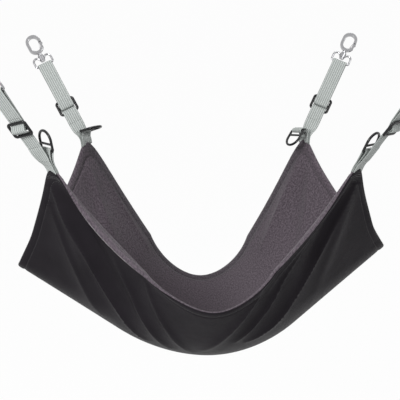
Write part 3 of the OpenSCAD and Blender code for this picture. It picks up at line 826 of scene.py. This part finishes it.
# %% [markdown]
# ## Stitch tree
# A topstitch runs round the bed on both faces, and short dense rows hold the straps and tabs.
# Modelling each stitch by hand would be slow, so a geometry node tree lays small threads along
# any path, at a pitch, with the thread's length and radius as its inputs.

# %% Inputs of the stitch tree
def stitch_inputs(tree):
    face = tree.interface
    face.new_socket("Path", in_out="INPUT", socket_type="NodeSocketGeometry")
    for name in ("Pitch", "Stitch length", "Thread radius"):
        face.new_socket(name, in_out="INPUT", socket_type="NodeSocketFloat")
    face.new_socket("Thread", in_out="INPUT", socket_type="NodeSocketMaterial")
    face.new_socket("Stitches", in_out="OUTPUT", socket_type="NodeSocketGeometry")

# %% Stitch tree
BEAD_SEGMENTS, BEAD_RINGS = 8, 5

def stitch_tree():
    tree = bpy.data.node_groups.new("stitches_along_a_path", "GeometryNodeTree")
    stitch_inputs(tree)
    make, link = tree.nodes.new, tree.links.new
    enter, leave = make("NodeGroupInput"), make("NodeGroupOutput")
    path = make("GeometryNodeMeshToCurve")
    spaced = make("GeometryNodeResampleCurve")
    spaced.mode = "LENGTH"
    tangent = make("GeometryNodeInputTangent")
    aligned = make("FunctionNodeAlignRotationToVector")
    aligned.axis = "X"
    bead = make("GeometryNodeMeshUVSphere")
    bead.inputs["Segments"].default_value = BEAD_SEGMENTS
    bead.inputs["Rings"].default_value = BEAD_RINGS
    half_length = make("ShaderNodeMath")
    half_length.operation = "MULTIPLY"
    half_length.inputs[1].default_value = 0.5
    size = make("ShaderNodeCombineXYZ")
    thread = make("GeometryNodeTransform")
    laid = make("GeometryNodeInstanceOnPoints")
    real = make("GeometryNodeRealizeInstances")
    shaded = make("GeometryNodeSetShadeSmooth")
    dressed = make("GeometryNodeSetMaterial")
    link(enter.outputs["Path"], path.inputs["Mesh"])
    link(path.outputs["Curve"], spaced.inputs["Curve"])
    link(enter.outputs["Pitch"], spaced.inputs["Length"])
    link(enter.outputs["Stitch length"], half_length.inputs[0])
    link(half_length.outputs[0], size.inputs["X"])
    link(enter.outputs["Thread radius"], size.inputs["Y"])
    link(enter.outputs["Thread radius"], size.inputs["Z"])
    link(bead.outputs["Mesh"], thread.inputs["Geometry"])
    link(size.outputs[0], thread.inputs["Scale"])
    link(tangent.outputs[0], aligned.inputs["Vector"])
    link(spaced.outputs["Curve"], laid.inputs["Points"])
    link(thread.outputs["Geometry"], laid.inputs["Instance"])
    link(aligned.outputs[0], laid.inputs["Rotation"])
    link(laid.outputs["Instances"], real.inputs["Geometry"])
    link(real.outputs["Geometry"], shaded.inputs["Geometry"])
    link(shaded.outputs["Geometry"], dressed.inputs["Geometry"])
    link(enter.outputs["Thread"], dressed.inputs["Material"])
    link(dressed.outputs["Geometry"], leave.inputs["Stitches"])
    return tree

STITCH_TREE = stitch_tree()
print("stitch tree with", len(STITCH_TREE.nodes), "nodes")

# %% [markdown]
# ## Laying stitches
# The tree runs on a mesh of bare edges, one chain of points for each row of stitches. It could stay
# as a live modifier, but a piece that rides on the frame has to be a plain mesh, so the result is
# turned into one at once and the modifier is taken off.

# %% Lay stitches on paths
def stitches(name, paths, pitch, length, radius, thread):
    points, edges = [], []
    for path in paths:
        first = len(points)
        points += [tuple(p) for p in path]
        edges += [(first + i, first + i + 1) for i in range(len(path) - 1)]
    mesh = bpy.data.meshes.new(name)
    mesh.from_pydata(points, edges, [])
    made = bpy.data.objects.new(name, mesh)
    bpy.context.scene.collection.objects.link(made)
    sewing = made.modifiers.new("sewing", "NODES")
    sewing.node_group = STITCH_TREE
    values = {"Pitch": pitch, "Stitch length": length, "Thread radius": radius, "Thread": thread}
    for item in STITCH_TREE.interface.items_tree:
        if item.in_out == "INPUT" and item.name in values:
            sewing[item.identifier] = values[item.name]
    bpy.context.view_layer.update()
    ready = made.evaluated_get(bpy.context.evaluated_depsgraph_get())
    sewn = bpy.data.meshes.new_from_object(ready)
    made.modifiers.remove(sewing)
    made.data = sewn
    print(name, len(sewn.polygons), "faces")
    return made

# %% [markdown]
# ## Finishes
# Every finish is built from nodes. Pictures of cloth would be quicker, but they repeat and carry
# their own light. Cloth and webbing read the flat coordinates of the cut piece, in metres, so
# threads keep their real size, and the hardware reads plain object coordinates.

# %% Shader and number nodes
def finish(name, colour, roughness, **sockets):
    made = bpy.data.materials.new(name)
    made.use_nodes = True
    shader = made.node_tree.nodes["Principled BSDF"]
    shader.inputs["Base Color"].default_value = (*colour, 1)
    shader.inputs["Roughness"].default_value = roughness
    for socket, value in sockets.items():
        shader.inputs[socket.replace("_", " ")].default_value = value
    return made, made.node_tree, shader

def math_node(tree, operation, first, second=None):
    made = tree.nodes.new("ShaderNodeMath")
    made.operation = operation
    for socket, value in zip(made.inputs, (first, second)):
        if isinstance(value, (int, float)):
            socket.default_value = value
        elif value is not None:
            tree.links.new(value, socket)
    return made.outputs[0]

def weighted(tree, first, first_share, second, second_share):
    parts = ((first, first_share), (second, second_share))
    return math_node(tree, "ADD", *(math_node(tree, "MULTIPLY", *part) for part in parts))

# %% Coordinates and patterns
def flat_coordinates(tree):
    flat = tree.nodes.new("ShaderNodeUVMap")
    flat.uv_map = "cut"
    split = tree.nodes.new("ShaderNodeSeparateXYZ")
    tree.links.new(flat.outputs[0], split.inputs[0])
    return flat.outputs[0], split.outputs["X"], split.outputs["Y"]

def object_coordinates(tree):
    return tree.nodes.new("ShaderNodeTexCoord").outputs["Object"]

def cosine(tree, coordinate, period):
    return math_node(tree, "COSINE", math_node(tree, "MULTIPLY", coordinate, 2 * math.pi / period))

def speckle(tree, coordinates, size, detail=2.0):
    made = tree.nodes.new("ShaderNodeTexNoise")
    made.inputs["Scale"].default_value = 1 / size
    made.inputs["Detail"].default_value = detail
    tree.links.new(coordinates, made.inputs["Vector"])
    return made.outputs["Fac"]

# %% Tones and relief
def two_tone(tree, shader, share, tones, limits):
    ramp = tree.nodes.new("ShaderNodeValToRGB")
    for stop, tone, limit in zip(ramp.color_ramp.elements, tones, limits):
        stop.position = limit
        stop.color = (*tone, 1)
    tree.links.new(share, ramp.inputs[0])
    tree.links.new(ramp.outputs[0], shader.inputs["Base Color"])
    return ramp

def relief(tree, shader, height, depth):
    made = tree.nodes.new("ShaderNodeBump")
    made.inputs["Strength"].default_value = 1.0
    made.inputs["Distance"].default_value = depth
    tree.links.new(height, made.inputs["Height"])
    tree.links.new(made.outputs[0], shader.inputs["Normal"])

# %% [markdown]
# ## Black woven cloth
# The shell is a smooth, dense weave with hardly any shine. Its threads are finer than a pixel, so
# a crossed cosine in the bump is enough for them, and a broad noise adds the small unevenness of
# cloth that has been folded. A strong shine would mirror the white room and turn the black grey.

# %% Woven shell finish
WEAVE, WEAVE_SHARE = 0.7 * MM, 0.04
WRINKLE, WRINKLE_DETAIL = 22 * MM, 3.0
CLOTH_RELIEF = 0.6 * MM
CLOTH_PATCH = 40 * MM
CLOTH_COLOUR = (0.0145, 0.0125, 0.0152)
CLOTH_TONES = ((0.0128, 0.011, 0.0134), (0.0162, 0.014, 0.017))
CLOTH_LIMITS = (0.3, 0.7)
CLOTH_ROUGHNESS, CLOTH_SHINE = 0.42, 0.035

def shell_finish():
    smooth_cloth = {"Specular_IOR_Level": CLOTH_SHINE}
    made, tree, shader = finish("black_woven_cloth", CLOTH_COLOUR, CLOTH_ROUGHNESS, **smooth_cloth)
    flat, x, y = flat_coordinates(tree)
    weave = math_node(tree, "MULTIPLY", cosine(tree, x, WEAVE), cosine(tree, y, WEAVE))
    wrinkle = speckle(tree, flat, WRINKLE, WRINKLE_DETAIL)
    height = math_node(tree, "ADD", math_node(tree, "MULTIPLY", weave, WEAVE_SHARE), wrinkle)
    relief(tree, shader, height, CLOTH_RELIEF)
    two_tone(tree, shader, speckle(tree, flat, CLOTH_PATCH), CLOTH_TONES, CLOTH_LIMITS)
    return made

BLACK_CLOTH = shell_finish()
print(BLACK_CLOTH.name, "with", len(BLACK_CLOTH.node_tree.nodes), "nodes")

# %% [markdown]
# ## Grey fleece
# Fleece is matt, with clumps of fibre a few millimetres across that catch the light. Two noises of
# different size make the speckle and the bump. A touch of sheen stands for the loose fibres. Along
# the back edge a slightly darker, greener strip is painted into the colour: painted shade where the
# hem turns away from the light.

# %% Fleece finish
CLUMP, CLUMP_DETAIL, CLUMP_SHARE = 3.2 * MM, 3.0, 0.3
FIBRE, FIBRE_DETAIL, FIBRE_SHARE = 2.0 * MM, 1.0, 0.7
FLEECE_COLOUR = (0.09, 0.08, 0.086)
FLEECE_TONES = ((0.06, 0.048, 0.0585), (0.132, 0.1085, 0.128))
FLEECE_LIMITS = (0.38, 0.62)
FLEECE_ROUGHNESS, FLEECE_SHEEN, FLEECE_SHINE = 0.92, 0.25, 0.15
FLEECE_RELIEF = 0.6 * MM
BACK_HEM, BACK_HEM_SOFT = 16 * MM, 1.5 * MM
# tint of the painted shade along the back hem
HEM_SHADE_TINT = (0.84, 0.88, 0.86, 1)

# painted shade: a darker strip multiplied into the colour along the back edge, where the hem turns away
# from the light
def painted_hem_shade(tree, shader, y, ramp):
    strip = tree.nodes.new("ShaderNodeMapRange")
    strip.inputs["From Min"].default_value = HALF_L - BACK_HEM - BACK_HEM_SOFT
    strip.inputs["From Max"].default_value = HALF_L - BACK_HEM + BACK_HEM_SOFT
    hem_shaded = tree.nodes.new("ShaderNodeMix")
    hem_shaded.data_type, hem_shaded.blend_type = "RGBA", "MULTIPLY"
    hem_shaded.inputs["B"].default_value = HEM_SHADE_TINT
    tree.links.new(y, strip.inputs["Value"])
    tree.links.new(strip.outputs[0], hem_shaded.inputs["Factor"])
    tree.links.new(ramp.outputs[0], hem_shaded.inputs["A"])
    tree.links.new(hem_shaded.outputs["Result"], shader.inputs["Base Color"])

def fleece_finish():
    soft = {"Sheen_Weight": FLEECE_SHEEN, "Specular_IOR_Level": FLEECE_SHINE}
    made, tree, shader = finish("grey_fleece", FLEECE_COLOUR, FLEECE_ROUGHNESS, **soft)
    flat, _, y = flat_coordinates(tree)
    clump = speckle(tree, flat, CLUMP, CLUMP_DETAIL)
    fibre = speckle(tree, flat, FIBRE, FIBRE_DETAIL)
    pile = weighted(tree, clump, CLUMP_SHARE, fibre, FIBRE_SHARE)
    painted_hem_shade(tree, shader, y, two_tone(tree, shader, pile, FLEECE_TONES, FLEECE_LIMITS))
    relief(tree, shader, pile, FLEECE_RELIEF)
    return made

FLEECE = fleece_finish()
print(FLEECE.name, "with", len(FLEECE.node_tree.nodes), "nodes")

# %% [markdown]
# ## Grey webbing
# The webbing shows its lengthwise ribs first, and only faintly the weft that crosses them. Both
# are cosines on the flat strip, and the ribs keep step with those of the swept section. In the colour
# the ribs are painted shade: darker in the grooves and lighter on the ribs. A stronger weft or
# speckle would break the clean lines that make webbing look like webbing.

# %% Webbing finish
WEFT = 1.1 * MM
RIB_SHARE, WEFT_SHARE = 0.4, 0.012
WEAR, WEAR_SHARE = 2.5 * MM, 0.03
WEB_LEVEL = 0.45
WEB_COLOUR = (0.49, 0.52, 0.5)
WEB_TONES_WITH_GROOVE_SHADE = ((0.26, 0.283, 0.272), (0.48, 0.505, 0.492))
WEB_LIMITS = (0.1, 0.85)
WEB_ROUGHNESS, WEB_SHEEN, WEB_SHINE = 0.78, 0.1, 0.3
WEB_RELIEF = 0.3 * MM

def webbing_finish():
    soft = {"Sheen_Weight": WEB_SHEEN, "Specular_IOR_Level": WEB_SHINE}
    made, tree, shader = finish("grey_webbing", WEB_COLOUR, WEB_ROUGHNESS, **soft)
    flat, x, y = flat_coordinates(tree)
    rib, weft = cosine(tree, x, WEB_W / RIBS), cosine(tree, y, WEFT)
    woven = weighted(tree, rib, RIB_SHARE, weft, WEFT_SHARE)
    wear = math_node(tree, "MULTIPLY", speckle(tree, flat, WEAR), WEAR_SHARE)
    # the colour follows the ribs as painted shade: darker in the grooves, lighter on the ribs
    shade = math_node(tree, "ADD", math_node(tree, "ADD", woven, wear), WEB_LEVEL)
    two_tone(tree, shader, shade, WEB_TONES_WITH_GROOVE_SHADE, WEB_LIMITS)
    relief(tree, shader, woven, WEB_RELIEF)
    return made

WEBBING = webbing_finish()
print(WEBBING.name, "with", len(WEBBING.node_tree.nodes), "nodes")

# %% [markdown]
# ## Metal and thread
# Sliders and D-rings are black and glossy, bails and hooks are bright nickel, and pins and springs
# are plain steel. One even roughness looks like plastic, so a noise varies it a little and a very
# shallow bump breaks the reflections. The two threads use the same recipe with no metal in it.

# %% Hardware finishes
POLISH, POLISH_DETAIL = 3 * MM, 4.0
POLISH_LEAST, POLISH_MOST = 0.75, 1.3
GRAIN, GRAIN_DEPTH = 0.8 * MM, 0.02 * MM

def hardware_finish(name, colour, roughness, **sockets):
    made, tree, shader = finish(name, colour, roughness, **sockets)
    spread = tree.nodes.new("ShaderNodeMapRange")
    spread.inputs["To Min"].default_value = roughness * POLISH_LEAST
    spread.inputs["To Max"].default_value = roughness * POLISH_MOST
    polish = speckle(tree, object_coordinates(tree), POLISH, POLISH_DETAIL)
    tree.links.new(polish, spread.inputs["Value"])
    tree.links.new(spread.outputs[0], shader.inputs["Roughness"])
    relief(tree, shader, speckle(tree, object_coordinates(tree), GRAIN), GRAIN_DEPTH)
    return made

# %% Hardware colours
LACQUER = {"Specular_IOR_Level": 0.25, "Coat_Weight": 0.1, "Coat_Roughness": 0.12}
BLACK_GLOSS = hardware_finish("black_gloss", (0.008, 0.008, 0.009), 0.25, **LACQUER)
NICKEL = hardware_finish("bright_nickel", (0.36, 0.36, 0.37), 0.2, Metallic=1.0)
STEEL = hardware_finish("plain_steel", (0.32, 0.32, 0.33), 0.34, Metallic=1.0)
# dark thread; on the fleece its darkness is partly painted shade of the stitch groove
DARK_THREAD_AND_SEAM_SHADE = hardware_finish("dark_thread_and_seam_shade", (0.03, 0.028, 0.031), 0.7, Sheen_Weight=0.2)
LIGHT_THREAD = hardware_finish("light_thread", (0.42, 0.44, 0.43), 0.75, Sheen_Weight=0.2)
for made in (BLACK_GLOSS, NICKEL, STEEL, DARK_THREAD_AND_SEAM_SHADE, LIGHT_THREAD):
    print(made.name, "with", len(made.node_tree.nodes), "nodes")

# %% [markdown]
# ## Topstitch
# One line of dark stitches runs all round the bed, where it sits in the groove of the hem. On the
# fleece the dark thread also stands for the shade in that groove, as painted shade. The line is a
# rounded rectangle on the cut cloth. Laid on each face by the same formulas as the cloth, it follows
# every fold without any shrinkwrap. The values of a seam are its pitch, the length of a stitch, the
# radius of the thread and the thread itself.

# %% The line of the topstitch
ROUND_STEPS, LINE_STEPS = 12, 1400
QUARTER = math.pi / 2

def stitch_round():
    w, l = HALF_W - STITCH_IN - STITCH_ROUND, HALF_L - STITCH_IN - STITCH_ROUND
    points = []
    for turn, (sx, sy) in enumerate([(1, 1), (-1, 1), (-1, -1), (1, -1)]):
        start = turn * QUARTER
        points += list(arc((sx * w, sy * l), STITCH_ROUND, start, start + QUARTER, ROUND_STEPS))
    points = np.array(points + points[:1])
    run = run_length(points)
    at = np.linspace(0, run[-1], LINE_STEPS)
    return np.interp(at, run, points[:, 0]) / HALF_W, np.interp(at, run, points[:, 1]) / HALF_L

stitch_u, stitch_v = stitch_round()
stitch_line = np.stack([stitch_u * HALF_W, stitch_v * HALF_L], -1)
print("line of the topstitch in mm:", round(run_length(stitch_line)[-1] / MM))

# %% Topstitch round the bed
SEAM_PITCH = 3.4 * MM
SHELL_SEAM = (SEAM_PITCH, 2.7 * MM, 0.26 * MM, DARK_THREAD_AND_SEAM_SHADE)
# on the fleece the thread is thicker and dark: real stitches, and partly painted shade of the groove
LINER_SEAM = (SEAM_PITCH, 2.8 * MM, 0.36 * MM, DARK_THREAD_AND_SEAM_SHADE)
SHELL_SEAM_OVER, LINER_SEAM_OVER = 0.12 * MM, 0.15 * MM

def on_shell(u, v, over):
    a, b = draw_in(u, v)
    return cloth(a, b) - (shell_lift(u, v) + over)[:, None] * inward(cloth, a, b)

def on_liner(u, v, over):
    a, b = draw_in(u, v)
    return cloth(a, b) + (liner_lift(u, v) + over)[:, None] * inward(cloth, a, b)

shell_line = on_shell(stitch_u, stitch_v, SHELL_SEAM_OVER)
liner_line = on_liner(stitch_u, stitch_v, LINER_SEAM_OVER)
shell_sewing = stitches("shell_topstitch", [shell_line], *SHELL_SEAM)
liner_sewing = stitches("liner_topstitch", [liner_line], *LINER_SEAM)

# %% [markdown]
# ## Tacks
# Two short dense rows across each corner hold the strap and the tab between the layers, and one
# row closes the tab below its ring. They are the same stitches at a smaller pitch, so close that
# they nearly touch, as a bar tack does.

# %% Tacks that hold the straps and tabs
TACK_ROWS = (9 * MM, 11 * MM)
TACK_HALF = 7.5 * MM
TACK_OVER = 0.1 * MM
TACK_STEPS, TAB_TACK_STEPS = 40, 20
TAB_TACK = 6 * MM
SHELL_TACK = (0.9 * MM, 1.1 * MM, 0.3 * MM, DARK_THREAD_AND_SEAM_SHADE)
LINER_TACK = (0.9 * MM, 1.1 * MM, 0.32 * MM, DARK_THREAD_AND_SEAM_SHADE)
TAB_THREAD = (1.0 * MM, 1.2 * MM, 0.26 * MM, LIGHT_THREAD)

def tack_row(c, inset):
    s = np.linspace(-TACK_HALF, TACK_HALF, TACK_STEPS)
    return c.side[0] * (1 - (inset + s) / HALF_W), c.side[1] * (1 - (inset - s) / HALF_L)

def tab_tack(c):
    run = np.array([TAB_TACK])
    face = tab_ply(c, AWAY, run) - (WEB_T / 2 + TACK_OVER) * tab_ray(c, run)
    across = np.linspace(-TACK_HALF, TACK_HALF, TAB_TACK_STEPS)
    return on_tab(c, face)[0] + np.outer(across, c.seam_x)

rows = [tack_row(c, inset) for c in corners for inset in TACK_ROWS]
shell_tacks = stitches("shell_tacks", [on_shell(u, v, TACK_OVER) for u, v in rows], *SHELL_TACK)
liner_tacks = stitches("liner_tacks", [on_liner(u, v, TACK_OVER) for u, v in rows], *LINER_TACK)
tab_tacks = stitches("tab_tacks", [tab_tack(c) for c in corners], *TAB_THREAD)

# %% [markdown]
# ## Riding on the frame
# The cloths, the sewing and the ring tabs are tied to the hammock, the body that carries them.
# Webbing that crosses a joint could be cut there, but then it would tear open. The runs and loops
# of the straps are only set in place in the scene and tied to no body.

# %% Ride and replace the cloth
cloths = (
    (shell, BLACK_CLOTH, "outer_shell", "outer_fabric"),
    (liner, FLEECE, "inner_liner", "liner_fleece"),
)
for piece, material, node, slot in cloths:
    piece.data.materials.append(material)
    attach(piece, "hammock")
    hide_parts(node)

sewing = {
    "outer_fabric": [shell_sewing, shell_tacks],
    "liner_fleece": [liner_sewing, liner_tacks],
    "webbing": [tab_tacks],
}
for slot, pieces in sewing.items():
    for piece in pieces:
        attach(piece, "hammock")
print(len(cloths), "cloths ride on the hammock")

def blend_along(piece):
    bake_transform(piece)

for piece in webbing_pieces:
    piece.data.materials.append(WEBBING)

for c in corners:
    strap, loop, slider = (kind + c.name for kind in ("strap_", "strap_loop_", "slider_"))
    blend_along(c.foot)
    blend_along(c.lower)
    blend_along(c.through)
    blend_along(c.loop)
    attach(c.tab, "hammock")
    for piece in (c.foot, c.lower, c.through):
        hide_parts(strap)
    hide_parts(loop)
    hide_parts("ring_tab_" + c.name)
print(len(webbing_pieces), "pieces of webbing tied to their bodies")

# %% [markdown]
# ## Hardware
# The rigid pieces already have their right shapes in the frame: sliders, D-rings, bails, hooks,
# gates and pins. Making them again would only risk a mistake, so they keep their meshes and just
# get their finishes.

# %% Hardware
HARDWARE = {
    "slider": BLACK_GLOSS, "d_ring": BLACK_GLOSS,
    "bail": NICKEL, "hook": NICKEL, "gate": NICKEL,
    "gate_pin": STEEL,
}
for c in corners:
    for kind, material in HARDWARE.items():
        piece = frame["nodes"][kind + "_" + c.name]
        piece.data.materials.clear()
        piece.data.materials.append(material)
print(len(corners) * len(HARDWARE), "pieces of hardware finished")

# %% [markdown]
# ## Leaf springs
# Behind each gate a thin steel leaf stands in the slot of the hook and pushes the gate shut. The
# solid is right at rest, but a stiff one would cut into the opening gate. A copy of it, with its
# doubled points welded, takes its place in plain steel.

# %% Leaf springs
WELD = 0.002 * MM

def leaf_spring(c):
    solid = frame["nodes"]["gate_spring_" + c.name]
    leaf = bpy.data.objects.new("gate_leaf_" + c.name, solid.data.copy())
    bpy.context.scene.collection.objects.link(leaf)
    shape = bmesh.new()
    shape.from_mesh(leaf.data)
    bmesh.ops.remove_doubles(shape, verts=shape.verts, dist=WELD)
    shape.to_mesh(leaf.data)
    shape.free()
    leaf.data.materials.clear()
    leaf.data.materials.append(STEEL)
    return leaf

for c in corners:
    leaf = leaf_spring(c)
    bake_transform(leaf)
    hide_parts("gate_spring_" + c.name)
    print(leaf.name, len(leaf.data.vertices), "points")
